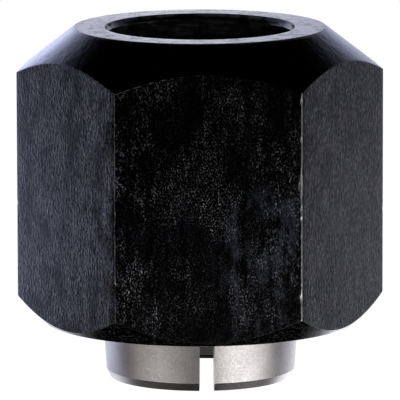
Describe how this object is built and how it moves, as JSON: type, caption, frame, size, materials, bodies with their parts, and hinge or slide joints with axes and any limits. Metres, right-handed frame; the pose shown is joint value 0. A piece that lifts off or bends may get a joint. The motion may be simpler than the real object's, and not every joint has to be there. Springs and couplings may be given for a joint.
{
  "type": "collet",
  "caption": "Slotted steel collet held captive in a black hexagonal clamping nut; it grips a round cutter shank when the nut is screwed onto a motor spindle.",
  "frame": {"origin": "centre of the collet's narrow end face, on which the part stands", "axes": "+Z along the common axis towards the side where the cutter shank goes in; -Y is the outward normal of one wrench flat of the nut"},
  "size_m": [0.0276, 0.024, 0.0265],
  "materials": {
    "black_oxide": "black oxide on machined steel, satin, worn to bare metal along the long corners",
    "turned_steel": "fine turned and ground steel, satin, uncoated",
    "spring_wire": "drawn spring steel wire, dull grey"
  },
  "bodies": {
    "sleeve": {"collet": "turned_steel"},
    "ring": {"retaining_ring": "spring_wire"},
    "nut": {"clamping_nut": "black_oxide"}
  },
  "joints": [
    {"name": "nut_lift", "type": "slide", "parent": "sleeve", "child": "ring", "axis": [0, 0, 1], "range_m": [0, 0.0008]},
    {"name": "nut_spin", "type": "hinge", "parent": "ring", "child": "nut", "pos_m": [0, 0, 0.0154], "axis": [0, 0, 1], "continuous": true}
  ]
}
